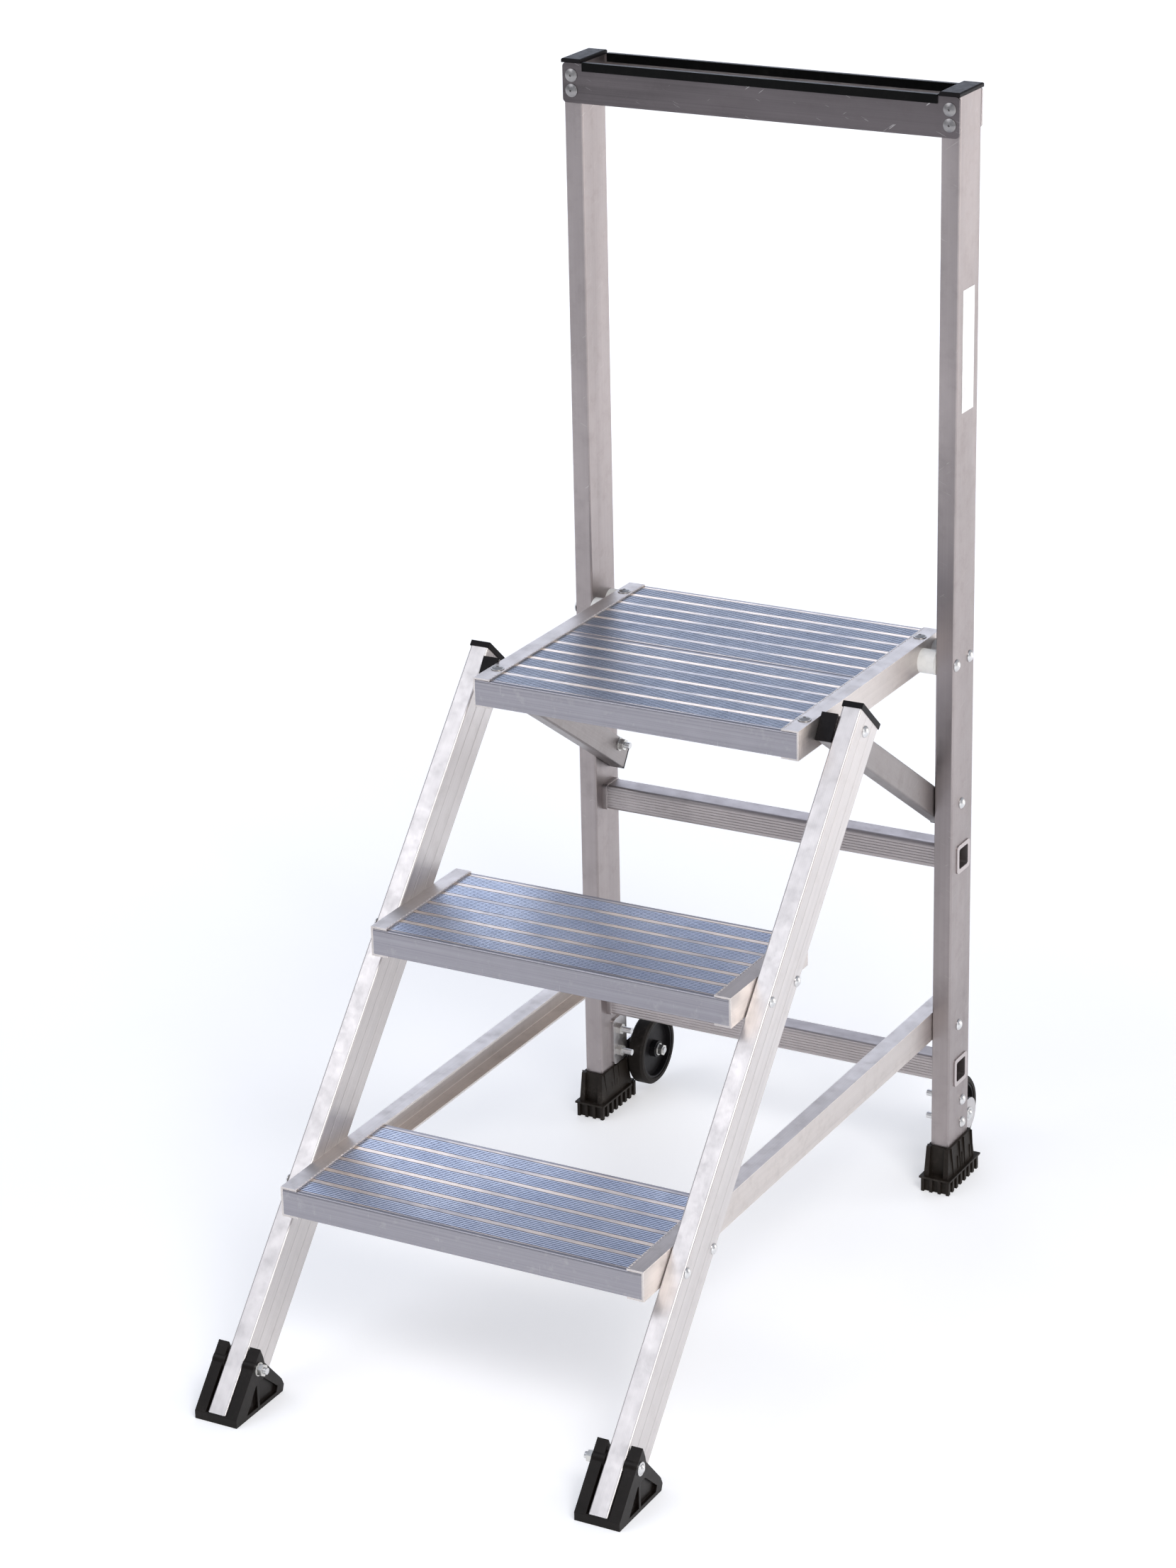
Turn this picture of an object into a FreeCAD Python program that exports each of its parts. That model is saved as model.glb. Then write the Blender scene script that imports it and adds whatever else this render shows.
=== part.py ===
import FreeCAD, Part
import math
import os
import Sketcher
from FreeCAD import Placement, Rotation, Vector

# Bolted aluminium step ladder: two steps and a platform between two leaning stiles and two
# uprights that carry on up to a handrail. It doesn't fold. Two transport wheels sit behind the
# uprights. Millimetres, +Z up. A person climbing it faces +Y, with +X to the right.
# The origin is on the floor, in the middle of the bounding box.

os.makedirs("parts", exist_ok=True)
doc = FreeCAD.newDocument("step_ladder")

# ---------------------------------------------------------------- driving dimensions

SIZES = (
    ("rise", 240, "height from one tread top to the next"),
    ("run", 215, "distance from one nosing to the next"),
    ("nose_low", -389, "Y of the lowest nosing"),
    ("tread_depth", 196, "front to back of one tread extrusion"),
    ("tread_height", 32, "height of the tread extrusion"),
    ("tread_wall", 2.5, "wall of the tread extrusion"),
    ("tread_top", 4, "top wall of the tread extrusion, under its ribs"),
    ("tread_web", 40, "inner web of the tread from its nosing or its rear"),
    ("nose_round", 5, "radius of the nosing"),
    ("rib_groups", 6, "bands of fine ribs across a tread"),
    ("rib_count", 7, "grooves in one band"),
    ("rib_pitch", 3.8, "groove to groove"),
    ("rib_groove", 1.6, "width of one groove"),
    ("rib_depth", 1.1, "depth of one groove"),
    ("band_pitch", 31.4, "band to band"),
    ("band_start", 6.5, "first groove from the nosing"),
    ("frame_half", 258, "outer face of the stiles and uprights from the middle"),
    ("rail_width", 24, "width of the stile and upright tube"),
    ("rail_depth", 60, "depth of the stile and upright tube"),
    ("rail_wall", 2, "wall of the stile and upright tube"),
    ("rail_round", 2.5, "corner radius of the stile and upright tube"),
    ("upright_front", 373, "Y of the front face of the uprights"),
    ("upright_foot", 14, "lower end of the uprights, inside the feet"),
    ("upright_top", 1385, "upper end of the uprights, under the caps"),
    ("lean", 41.6, "lean of the stiles from vertical, degrees"),
    ("stile_line", -535, "Y where the line of the stile's front face meets the floor"),
    ("stile_foot", 11, "height of the stile's level lower end"),
    ("stile_length", 981, "floor to the upper end along the stile's front face"),
    ("step_half", 234, "outer face of the step channels from the middle"),
    ("channel_height", 37, "height of the step channels"),
    ("channel_flange", 21, "flange of the step channels"),
    ("channel_wall", 2.5, "wall of the step channels"),
    ("deck_half", 213, "outer face of the platform channels from the middle"),
    ("deck_height", 36, "height of the platform channels"),
    ("deck_flange", 22, "flange of the platform channels"),
    ("deck_wall", 2, "wall of the platform channels"),
    ("bolt_drop", 21.5, "step bolts and bar bolts below the tread top"),
    ("step_bolts_apart", 64, "spacing of the two bolts of a step in one stile"),
    ("deck_bolt_level", 697.5, "height of the platform's bolts in the uprights"),
    ("stile_bolt_level", 700, "height of the stile's upper bolt"),
    ("stile_bolt_ahead", 4, "the stile's upper bolt ahead of the stile's middle"),
    ("deck_bolts_apart", 39, "spacing of the two bolts of the platform in one upright"),
    ("spacer_diameter", 30, "nylon spacer"),
    ("brace_width", 20, "width of the brace tube"),
    ("brace_depth", 34, "depth of the brace tube"),
    ("brace_bolt_edge", 9, "brace bolts below its top edge"),
    ("brace_low_end", 26, "brace beyond its lower bolt"),
    ("brace_high_end", 28, "brace beyond its upper bolt"),
    ("brace_bolt_level", 514, "height of the brace's lower bolt"),
    ("rung_size", 32, "rung tube, square"),
    ("rung_wall", 3, "wall of the rung tube"),
    ("rung_round", 5, "corner radius of the rung tube"),
    ("rung_y", 406, "Y of the rungs"),
    ("rung_low", 155.5, "height of the lower rung"),
    ("rung_high", 442, "height of the upper rung"),
    ("rung_rim", 37, "flared rim of a rung"),
    ("rung_groove_pitch", 3.7, "groove to groove on a rung's face"),
    ("plate_height", 48, "handrail plate"),
    ("plate_wall", 3, "thickness of the handrail plates"),
    ("plate_round", 5, "corner radius of the handrail plates"),
    ("trim_half", 231, "end of the handrail edge trims from the middle"),
    ("trim_drop", 9, "edge trim below the plate's top edge"),
    ("trim_wall", 1.5, "wall of the edge trim"),
    ("cap_slab", 5, "thickness of the upright caps"),
    ("cap_lip", 1, "overhang of the caps"),
    ("plug_wall", 3, "thickness of the stile caps and brace plugs"),
    ("shoe_width", 56, "width of the front feet"),
    ("shoe_front", -527, "Y of the front of the front feet"),
    ("shoe_slot", 28, "slot between the cheeks of a front foot"),
    ("shoe_recess", 4, "depth of the pockets in the cheeks"),
    ("shoe_bolt_y", 50, "foot bolt behind the foot's front"),
    ("shoe_bolt_z", 52, "foot bolt above the floor"),
    ("shoe_boss", 11, "radius of the foot's bolt boss"),
    ("boot_width", 38, "width of the rear feet"),
    ("boot_length", 91, "length of the rear feet"),
    ("boot_front", 360, "Y of the front of the rear feet"),
    ("boot_skirt", 20, "height of the ridged skirt of the rear feet"),
    ("boot_ridge", 3.5, "how far the skirt's ridges stand out"),
    ("boot_ridge_width", 5, "width of one ridge on the skirt's sides"),
    ("boot_height", 60, "height of the rear feet"),
    ("wheel_diameter", 95, "transport wheel"),
    ("wheel_width", 22, "transport wheel"),
    ("wheel_outer", 229.5, "outer side of the wheels from the middle"),
    ("wheel_y", 479.5, "Y of the wheel axles"),
    ("wheel_z", 57.5, "height of the wheel axles"),
    ("bracket_wall", 3, "thickness of the wheel brackets"),
    ("bracket_tab", 239, "outer face of the wheel brackets' tabs from the middle"),
    ("bracket_tab_round", 21.5, "radius of the tab's round end"),
    ("bracket_bolt_y", 413.5, "Y of the bracket bolts"),
    ("bracket_front", 12.5, "wheel bracket ahead of its bolts"),
    ("bracket_bolt_low", 79, "height of the lower bracket bolt"),
    ("bracket_bolt_high", 110, "height of the upper bracket bolt"),
    ("small_bolt", 6, "thread diameter of the step bolts"),
    ("large_bolt", 8, "thread diameter of the frame bolts"),
    ("clearance", 0.3, "hole larger than its bolt, on the radius"),
    ("label_width", 33, "blank label on the right upright"),
    ("label_height", 148, "blank label on the right upright"),
    ("label_level", 1082, "height of the label's middle"),
)

sheet = doc.addObject("Spreadsheet::Sheet", "dims")
for row, (alias, number, meaning) in enumerate(SIZES, start=1):
    sheet.set("A%d" % row, meaning)
    sheet.set("B%d" % row, str(number))
    sheet.setAlias("B%d" % row, alias)
doc.recompute()


def size(alias):
    """A driving dimension as a number."""
    return float(sheet.get(alias))


# ---------------------------------------------------------------- helpers

SUB_PARTS = []
SIDES = (("left", -1), ("right", 1))
LEAN = math.radians(size("lean"))
RAIL_X = size("frame_half") - size("rail_width") / 2
STILE_SPAN = size("rail_depth") / math.cos(LEAN)


def keep(item, label, placement=Placement()):
    """Name a sub-part, place it and put it on the list of pieces to write."""
    item.Label = label
    item.Placement = placement
    SUB_PARTS.append(item)
    return item


def sketch_on(body, role, name):
    """An empty sketch on one of the body's own origin planes."""
    sketch = body.newObject("Sketcher::SketchObject", name)
    plane = [feature for feature in body.Origin.OriginFeatures if feature.Role == role][0]
    sketch.AttachmentSupport = (plane, [""])
    sketch.MapMode = "FlatFace"
    return sketch


def bind_point(sketch, geometry, position, across, up):
    """Hold one point of the sketch at two expressions of the sheet."""
    for kind, expression in (("DistanceX", across), ("DistanceY", up)):
        index = sketch.addConstraint(Sketcher.Constraint(kind, -1, 1, geometry, position, 1.0))
        sketch.setExpression("Constraints[%d]" % index, expression)


def polygon(sketch, corners):
    """A closed outline whose corners are pairs of expressions."""
    count = len(corners)
    turn = 2 * math.pi / count
    points = [Vector(10 * math.cos(turn * i), 10 * math.sin(turn * i), 0) for i in range(count)]
    first = sketch.GeometryCount
    for i in range(count):
        sketch.addGeometry(Part.LineSegment(points[i], points[(i + 1) % count]), False)
    for i in range(count):
        following = first + (i + 1) % count
        sketch.addConstraint(Sketcher.Constraint("Coincident", first + i, 2, following, 1))
    for i, (across, up) in enumerate(corners):
        bind_point(sketch, first + i, 1, across, up)


def rectangle(sketch, left, low, right, high):
    """A rectangle from its four edges, each an expression."""
    polygon(sketch, ((left, low), (right, low), (right, high), (left, high)))


def circle(sketch, across, up, radius):
    """A circle whose centre and radius are expressions."""
    index = sketch.addGeometry(Part.Circle(Vector(1, 1, 0), Vector(0, 0, 1), 2.0), False)
    bind_point(sketch, index, 3, across, up)
    constraint = sketch.addConstraint(Sketcher.Constraint("Radius", index, 2.0))
    sketch.setExpression("Constraints[%d]" % constraint, radius)


def pad(body, sketch, length, both_ways=False, back=False):
    """Raise a sketch by an expression, to one side, the other side or evenly to both."""
    feature = body.newObject("PartDesign::Pad", "pad")
    feature.Profile = sketch
    feature.setExpression("Length", length)
    feature.Midplane = both_ways
    feature.Reversed = back
    return feature


def pocket(body, sketch, depth=None, both_ways=True, back=False):
    """Cut a sketch right through the body, or to a depth on one side of it."""
    feature = body.newObject("PartDesign::Pocket", "pocket")
    feature.Profile = sketch
    if depth is None:
        feature.Type = "ThroughAll"
    else:
        feature.setExpression("Length", depth)
    feature.Midplane = both_ways
    feature.Reversed = back
    return feature


def pattern(body, feature, sketch, axis, pitch, count):
    """Repeat a feature along one axis of its own sketch."""
    copies = body.newObject("PartDesign::LinearPattern", "pattern")
    copies.Originals = [feature]
    copies.Direction = (sketch, [axis])
    copies.Mode = "Spacing"
    copies.setExpression("Offset", pitch)
    copies.setExpression("Occurrences", count)
    body.Tip = copies
    return copies


def round_edges(body, feature, radius, test):
    """Round the edges of a feature that pass a test."""
    doc.recompute()
    names = ["Edge%d" % i for i, edge in enumerate(feature.Shape.Edges, start=1) if test(edge)]
    fillet = body.newObject("PartDesign::Fillet", "rounding")
    fillet.Base = (feature, names)
    fillet.setExpression("Radius", radius)
    return fillet


def runs_along(edge, axis):
    """True for a straight edge parallel to an axis."""
    ends = [vertex.Point for vertex in edge.Vertexes]
    if edge.Curve.TypeId != "Part::GeomLine" or len(ends) != 2:
        return False
    return (ends[1] - ends[0]).normalize().cross(axis).Length < 1e-6


def facing(side):
    """A turn that points a fastener's head outwards on the left or the right."""
    return Rotation(Vector(0, 0, 1), Vector(side, 0, 0))


def set_of(label, shapes):
    """Several loose solids at places that the frame's sizes give, kept as one sub-part."""
    item = doc.addObject("Part::Feature", label)
    item.Shape = Part.makeCompound(shapes)
    return keep(item, label)


def placed(shape, x, y, z, rotation=Rotation()):
    """A copy of a shape at a place of its own."""
    copy = shape.copy()
    copy.Placement = Placement(Vector(x, y, z), rotation)
    return copy


# ---------------------------------------------------------------- where the bolts are

def stile_middle(level):
    """Y of the middle of the stiles at a height."""
    return size("stile_line") + level * math.tan(LEAN) + STILE_SPAN / 2


def step_level(step):
    return step * size("rise")


def nosing(step):
    return size("nose_low") + (step - 1) * size("run")


def step_bolt_places(step):
    """Y and Z of the two bolts that hold a step to a stile."""
    level = step_level(step) - size("bolt_drop")
    middle = stile_middle(level)
    reach = size("step_bolts_apart") / 2
    return [(middle - reach, level), (middle + reach, level)]


UPRIGHT_MIDDLE = size("upright_front") + size("rail_depth") / 2
BOLT_LINE = UPRIGHT_MIDDLE - 3
DECK_LEVEL = step_level(3)
DECK_BOLTS = [(BOLT_LINE + k * size("deck_bolts_apart") / 2, size("deck_bolt_level")) for k in (-1, 1)]
STILE_TOP_BOLT = (stile_middle(size("stile_bolt_level")) - size("stile_bolt_ahead"), size("stile_bolt_level"))
BRACE_LOW_BOLT = (BOLT_LINE, size("brace_bolt_level"))
BAR_BOLT = (BOLT_LINE, step_level(1) - size("bolt_drop"))
BRACKET_BOLTS = [(size("bracket_bolt_y"), size("bracket_bolt_low")),
                 (size("bracket_bolt_y"), size("bracket_bolt_high"))]
SHOE_BOLT = (size("shoe_front") + size("shoe_bolt_y"), size("shoe_bolt_z"))


def drill(body, places, thread, origin=(0.0, 0.0), tilt=0.0):
    """Clearance holes along X at world places (Y, Z) in a body that is tilted about X."""
    sketch = sketch_on(body, "YZ_Plane", "holes")
    for y, z in places:
        across, up = y - origin[0], z - origin[1]
        along = across * math.cos(tilt) + up * math.sin(tilt)
        above = up * math.cos(tilt) - across * math.sin(tilt)
        circle(sketch, "%.6f" % along, "%.6f" % above, "dims.%s / 2 + dims.clearance" % thread)
    pocket(body, sketch)


# ---------------------------------------------------------------- tubes of the frame

def tube_profile(body, width, low, high, wall):
    """Outline and bore of a rectangular tube that runs along the body's Z."""
    sketch = sketch_on(body, "XY_Plane", "section")
    rectangle(sketch, "-%s / 2" % width, low, "%s / 2" % width, high)
    rectangle(sketch, "-%s / 2 + %s" % (width, wall), "%s + %s" % (low, wall),
              "%s / 2 - %s" % (width, wall), "%s - %s" % (high, wall))
    return sketch


def on_rim(edge, half_width, low, high):
    """True for one of the four outer long edges of a tube along Z."""
    point = edge.Vertexes[0].Point
    at_side = abs(abs(point.x) - half_width) < 1e-6
    at_end = min(abs(point.y - low), abs(point.y - high)) < 1e-6
    return runs_along(edge, Vector(0, 0, 1)) and at_side and at_end


def make_upright(name, side):
    """Upright tube from the rear foot to the handrail."""
    label = "upright_" + name
    body = doc.addObject("PartDesign::Body", label)
    section = tube_profile(body, "dims.rail_width", "0", "dims.rail_depth", "dims.rail_wall")
    tube = pad(body, section, "dims.upright_top - dims.upright_foot")
    half_width, depth = size("rail_width") / 2, size("rail_depth")
    round_edges(body, tube, "dims.rail_round", lambda edge: on_rim(edge, half_width, 0, depth))
    origin = (size("upright_front"), size("upright_foot"))
    drill(body, DECK_BOLTS + [BRACE_LOW_BOLT, BAR_BOLT] + BRACKET_BOLTS, "large_bolt", origin)
    openings = sketch_on(body, "YZ_Plane", "rung_openings")
    for level in ("rung_low", "rung_high"):
        across = "dims.rung_y - dims.upright_front"
        up = "dims.%s - dims.upright_foot" % level
        reach = "(dims.rung_size / 2 + 0.2)"
        rectangle(openings, across + " - " + reach, up + " - " + reach, across + " + " + reach,
                  up + " + " + reach)
    pocket(body, openings)
    rivets = sketch_on(body, "XZ_Plane", "rivet_holes")
    for share in (-0.19, 0.19):
        up = "dims.upright_top - dims.upright_foot - dims.plate_height * (0.5 + %s)" % share
        circle(rivets, "0", up, "2.6")
    pocket(body, rivets)
    keep(body, label, Placement(Vector(side * RAIL_X, *origin), Rotation()))


def make_stile(name, side):
    """Leaning stile tube: square upper end, lower end cut level to stand in the front foot."""
    label = "stile_" + name
    body = doc.addObject("PartDesign::Body", label)
    section = tube_profile(body, "dims.rail_width", "0", "dims.rail_depth", "dims.rail_wall")
    tube = pad(body, section, "dims.stile_length")
    half_width, depth = size("rail_width") / 2, size("rail_depth")
    round_edges(body, tube, "dims.rail_round", lambda edge: on_rim(edge, half_width, 0, depth))
    waste = sketch_on(body, "YZ_Plane", "level_end")
    near, far = "-1", "dims.rail_depth + 1"
    cut = "(dims.stile_foot + (%s) * sin(dims.lean * 1 deg)) / cos(dims.lean * 1 deg)"
    polygon(waste, ((near, "-1"), (far, "-1"), (far, cut % far), (near, cut % near)))
    pocket(body, waste)
    places = step_bolt_places(1) + step_bolt_places(2)
    origin = (size("stile_line"), 0.0)
    drill(body, places, "small_bolt", origin, -LEAN)
    drill(body, [STILE_TOP_BOLT, SHOE_BOLT], "large_bolt", origin, -LEAN)
    turn = Rotation(Vector(1, 0, 0), -size("lean"))
    keep(body, label, Placement(Vector(side * RAIL_X, size("stile_line"), 0), turn))


RISE_OF_BRACE = STILE_TOP_BOLT[1] - BRACE_LOW_BOLT[1]
REACH_OF_BRACE = BRACE_LOW_BOLT[0] - STILE_TOP_BOLT[0]
BRACE_TURN = math.atan2(REACH_OF_BRACE, RISE_OF_BRACE)
BRACE_SPAN = math.hypot(REACH_OF_BRACE, RISE_OF_BRACE)
BRACE_X = (size("deck_half") + size("frame_half") - size("rail_width")) / 2


def brace_point(along, above):
    """World (Y, Z) of a point along the brace from its lower bolt and above the bolts' line."""
    y = BRACE_LOW_BOLT[0] - along * math.sin(BRACE_TURN) + above * math.cos(BRACE_TURN)
    z = BRACE_LOW_BOLT[1] + along * math.cos(BRACE_TURN) + above * math.sin(BRACE_TURN)
    return y, z


BRACE_ORIGIN = brace_point(-size("brace_low_end"), size("brace_bolt_edge") - size("brace_depth"))
BRACE_LENGTH = size("brace_low_end") + BRACE_SPAN + size("brace_high_end")


def make_brace(name, side):
    """Brace tube in the gap between the platform channel and the upright and stile."""
    label = "brace_" + name
    body = doc.addObject("PartDesign::Body", label)
    section = tube_profile(body, "dims.brace_width", "0", "dims.brace_depth", "dims.rail_wall")
    span = "dims.brace_low_end + dims.brace_high_end + %.6f" % BRACE_SPAN
    tube = pad(body, section, span)
    half_width, depth = size("brace_width") / 2, size("brace_depth")
    round_edges(body, tube, "dims.rail_round", lambda edge: on_rim(edge, half_width, 0, depth))
    drill(body, [BRACE_LOW_BOLT, STILE_TOP_BOLT], "large_bolt", BRACE_ORIGIN, BRACE_TURN)
    turn = Rotation(Vector(1, 0, 0), math.degrees(BRACE_TURN))
    keep(body, label, Placement(Vector(side * BRACE_X, *BRACE_ORIGIN), turn))


def at_corner(edge, reach):
    """True for an edge along X that lies beyond a reach in both Y and Z."""
    point = edge.Vertexes[0].Point
    return runs_along(edge, Vector(1, 0, 0)) and min(abs(point.y), abs(point.z)) > reach


def make_rung(label, level):
    """Rung tube through both uprights, swaged to a rim outside them and a collar inside them."""
    body = doc.addObject("PartDesign::Body", label)
    section = sketch_on(body, "YZ_Plane", "section")
    half = "dims.rung_size / 2"
    rectangle(section, "-" + half, "-" + half, half, half)
    tube = pad(body, section, "2 * dims.frame_half", both_ways=True)
    corner = round_edges(body, tube, "dims.rung_round", lambda edge: runs_along(edge, Vector(1, 0, 0)))
    body.Tip = corner
    for name, inner in (("rim", "dims.frame_half"), ("collar", "dims.frame_half - dims.rail_width - 6")):
        for side in (-1, 1):
            swage = sketch_on(body, "YZ_Plane", name)
            low, high = ("-dims.rung_rim / 2", "dims.rung_rim / 2")
            if name == "collar":
                low, high = low + " + 1.2", high + " - 1.2"
            rectangle(swage, low, low, high, high)
            sign = "" if side > 0 else "-"
            swage.setExpression("AttachmentOffset.Base.z", "%s(%s)" % (sign, inner))
            swaged = pad(body, swage, "1.5" if name == "rim" else "6", back=side < 0)
    outside = size("rung_size") / 2 + 0.5
    body.Tip = round_edges(body, swaged, "dims.rung_round", lambda edge: at_corner(edge, outside))
    bore = sketch_on(body, "YZ_Plane", "bore")
    reach = "(dims.rung_size / 2 - dims.rung_wall)"
    rectangle(bore, "-" + reach, "-" + reach, reach, reach)
    bored = pocket(body, bore)
    doc.recompute()
    in_bore = size("rung_size") / 2 - size("rung_wall")

    def bore_corner(edge):
        point = edge.Vertexes[0].Point
        return at_corner(edge, in_bore - 0.01) and max(abs(point.y), abs(point.z)) < in_bore + 0.01

    body.Tip = round_edges(body, bored, "dims.rung_round - 2", bore_corner)
    for face in (-1, 1):
        groove = sketch_on(body, "YZ_Plane", "groove")
        edge = "%d * dims.rung_size / 2" % face
        low = "-2.5 * dims.rung_groove_pitch - 0.7"
        rectangle(groove, edge + " - 0.7", low, edge + " + 0.7", low + " + 1.4")
        cut = pocket(body, groove, "2 * (dims.frame_half - dims.rail_width - 7)")
        pattern(body, cut, groove, "V_Axis", "dims.rung_groove_pitch", "6")
    keep(body, label, Placement(Vector(0, size("rung_y"), level), Rotation()))


# ---------------------------------------------------------------- treads and their channels

def make_tread(label, length, front, top):
    """Hollow ribbed tread extrusion that runs along X, its nosing at front and its ribs at top."""
    body = doc.addObject("PartDesign::Body", label)
    section = sketch_on(body, "YZ_Plane", "section")
    rectangle(section, "0", "-dims.tread_height", "dims.tread_depth", "0")
    webs = ("dims.tread_wall", "dims.tread_web - dims.tread_wall / 2", "dims.tread_web + dims.tread_wall / 2",
            "dims.tread_depth - dims.tread_web - dims.tread_wall / 2",
            "dims.tread_depth - dims.tread_web + dims.tread_wall / 2", "dims.tread_depth - dims.tread_wall")
    for near, far in zip(webs[0::2], webs[1::2]):
        rectangle(section, near, "-dims.tread_height + dims.tread_wall", far, "-dims.tread_top")
    block = pad(body, section, length, both_ways=True)

    def nosing_edge(edge):
        point = edge.Vertexes[0].Point
        return runs_along(edge, Vector(1, 0, 0)) and abs(point.y) < 1e-6 and abs(point.z) < 1e-6

    round_edges(body, block, "dims.nose_round - 1.5", nosing_edge)
    groove = sketch_on(body, "YZ_Plane", "groove")
    rectangle(groove, "dims.band_start", "-dims.rib_depth", "dims.band_start + dims.rib_groove", "1")
    cut = pocket(body, groove)
    bands = body.newObject("PartDesign::MultiTransform", "ribs")
    steps = []
    for name, pitch, count in (("in_band", "rib_pitch", "rib_count"), ("bands", "band_pitch", "rib_groups")):
        step = body.newObject("PartDesign::LinearPattern", name)
        step.Direction = (groove, ["H_Axis"])
        step.Mode = "Spacing"
        step.setExpression("Offset", "dims." + pitch)
        step.setExpression("Occurrences", "dims." + count)
        steps.append(step)
    bands.Originals = [cut]
    bands.Transformations = steps
    body.Tip = bands
    keep(body, label, Placement(Vector(0, front, top), Rotation()))


def make_channel(label, side, sizes, length, front, top, holes, thread, screw_places=()):
    """C channel along Y, web outside and flanges inwards, its top face at a tread's level."""
    height, flange, wall = ["dims." + alias for alias in sizes[1:]]
    body = doc.addObject("PartDesign::Body", label)
    section = sketch_on(body, "XZ_Plane", "section")
    inward = "-" if side > 0 else ""
    steps = (("0", "0"), (flange, "0"), (flange, "-" + wall), (wall, "-" + wall),
             (wall, "-%s + %s" % (height, wall)), (flange, "-%s + %s" % (height, wall)),
             (flange, "-" + height), ("0", "-" + height))
    polygon(section, [("%s(%s)" % (inward, across), up) for across, up in steps])
    pad(body, section, length, back=True)
    if holes:
        drill(body, holes, thread, (front, top))
    if screw_places:
        screws = sketch_on(body, "XY_Plane", "screw_holes")
        for y in screw_places:
            circle(screws, "%s(%s / 2)" % (inward, flange), "%.6f" % (y - front), "2.3")
        pocket(body, screws, "dims.deck_wall", both_ways=False)
    keep(body, label, Placement(Vector(side * size(sizes[0]), front, top), Rotation()))


STEP_CHANNEL = ("step_half", "channel_height", "channel_flange", "channel_wall")
DECK_CHANNEL = ("deck_half", "deck_height", "deck_flange", "deck_wall")
STEP_TREAD = "2 * (dims.step_half - dims.channel_wall)"
DECK_TREAD = "2 * (dims.deck_half - dims.deck_wall)"
UPRIGHT_REAR = size("upright_front") + size("rail_depth")
DECK_SCREWS = [nosing(3) + 39, UPRIGHT_REAR - 35]


def make_treads_and_channels():
    for step, name in ((1, "lower"), (2, "middle")):
        level = step_level(step)
        make_tread(name + "_tread", STEP_TREAD, nosing(step), level - size("channel_wall"))
    for k, name in enumerate(("front", "rear")):
        front = nosing(3) + k * size("tread_depth")
        make_tread("platform_tread_" + name, DECK_TREAD, front, DECK_LEVEL - size("deck_wall"))
    bar_length = "dims.upright_front + dims.rail_depth - dims.nose_low"
    for name, side in SIDES:
        make_channel("middle_channel_" + name, side, STEP_CHANNEL, "dims.tread_depth", nosing(2),
                     step_level(2), step_bolt_places(2), "small_bolt")
        make_channel("platform_channel_" + name, side, DECK_CHANNEL, "2 * dims.tread_depth", nosing(3),
                     DECK_LEVEL, DECK_BOLTS + [STILE_TOP_BOLT], "large_bolt", DECK_SCREWS)
        make_channel("lower_channel_" + name, side, STEP_CHANNEL, bar_length, nosing(1),
                     step_level(1), step_bolt_places(1), "small_bolt")
        drill(SUB_PARTS[-1], [BAR_BOLT], "large_bolt", (nosing(1), step_level(1)))


# ---------------------------------------------------------------- handrail

def make_handrail():
    """Two flat plates across the uprights' front and rear faces, with U trims on their top edges."""
    rivet_levels = ["-dims.plate_height * (0.5 + %s)" % share for share in (-0.19, 0.19)]
    places = (("front", size("upright_front") - size("plate_wall")), ("rear", UPRIGHT_REAR))
    for name, y in places:
        body = doc.addObject("PartDesign::Body", "handrail_plate_" + name)
        outline = sketch_on(body, "XZ_Plane", "outline")
        rectangle(outline, "-dims.frame_half", "-dims.plate_height", "dims.frame_half", "0")
        plate = pad(body, outline, "dims.plate_wall", back=True)
        round_edges(body, plate, "dims.plate_round", lambda edge: runs_along(edge, Vector(0, 1, 0)))
        rivets = sketch_on(body, "XZ_Plane", "rivet_holes")
        for sign in ("-", ""):
            for level in rivet_levels:
                circle(rivets, "%s(dims.frame_half - dims.rail_width / 2)" % sign, level, "2.6")
        pocket(body, rivets)
        keep(body, "handrail_plate_" + name, Placement(Vector(0, y, size("upright_top")), Rotation()))

        trim = doc.addObject("PartDesign::Body", "handrail_trim_" + name)
        section = sketch_on(trim, "YZ_Plane", "section")
        wall, drop, inner = "dims.trim_wall", "dims.trim_drop", "dims.plate_wall"
        polygon(section, (("-" + wall, "-" + drop), ("0", "-" + drop), ("0", "0"), (inner, "0"),
                          (inner, "-" + drop), ("%s + %s" % (inner, wall), "-" + drop),
                          ("%s + %s" % (inner, wall), wall), ("-" + wall, wall)))
        pad(trim, section, "2 * dims.trim_half", both_ways=True)
        keep(trim, "handrail_trim_" + name, Placement(Vector(0, y, size("upright_top")), Rotation()))


def make_upright_cap(name, side):
    """Plastic cap: a slab over the tube's end and the plates' edges, with a plug in the tube."""
    body = doc.addObject("PartDesign::Body", "upright_cap_" + name)
    slab = sketch_on(body, "XY_Plane", "slab")
    across = "(dims.rail_width / 2 + dims.cap_lip)"
    along = "(dims.rail_depth / 2 + dims.plate_wall + dims.cap_lip)"
    rectangle(slab, "-" + across, "-" + along, across, along)
    top = pad(body, slab, "dims.cap_slab")
    level = size("cap_slab")
    rim = round_edges(body, top, "2", lambda edge: all(abs(v.Point.z - level) < 1e-6 for v in edge.Vertexes))
    body.Tip = rim
    plug = sketch_on(body, "XY_Plane", "plug")
    across = "(dims.rail_width / 2 - dims.rail_wall)"
    along = "(dims.rail_depth / 2 - dims.rail_wall)"
    rectangle(plug, "-" + across, "-" + along, across, along)
    pad(body, plug, "10", back=True)
    keep(body, "upright_cap_" + name,
         Placement(Vector(side * RAIL_X, UPRIGHT_MIDDLE, size("upright_top")), Rotation()))


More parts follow.
